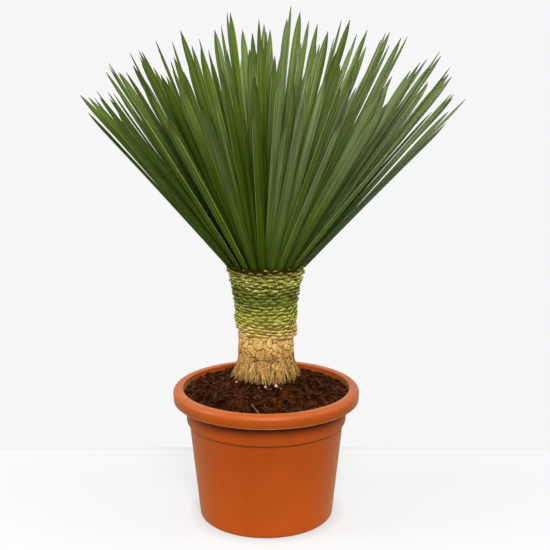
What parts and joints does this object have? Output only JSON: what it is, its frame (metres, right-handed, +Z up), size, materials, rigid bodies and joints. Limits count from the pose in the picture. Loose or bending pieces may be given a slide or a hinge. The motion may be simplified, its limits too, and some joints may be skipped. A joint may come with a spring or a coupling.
{
  "type": "potted beaked yucca",
  "caption": "Potted beaked yucca: a stiff inverted cone of narrow sword leaves on a short scaly trunk, standing in soil in a round rimmed pot.",
  "frame": {"origin": "centre of the pot's flat base", "axes": "+Z up along the trunk, -Y towards the viewer of the picture, +X to that viewer's right"},
  "size_m": [0.5242, 0.497, 0.7071],
  "materials": {
    "pot_plastic": "satin terracotta-orange moulded plastic",
    "potting_soil": "crumbly dark brown potting soil",
    "dry_leaf_bases": "dry straw-coloured cut leaf bases and frayed fibre",
    "green_leaf_bases": "fresh yellow-green cut leaf bases",
    "leaf": "matte green leaf with a thin pale margin"
  },
  "bodies": {
    "root": {"pot": "pot_plastic", "soil": "potting_soil", "trunk_dry": "dry_leaf_bases", "trunk_green": "green_leaf_bases", "leaf_crown": "leaf"}
  },
  "joints": []
}
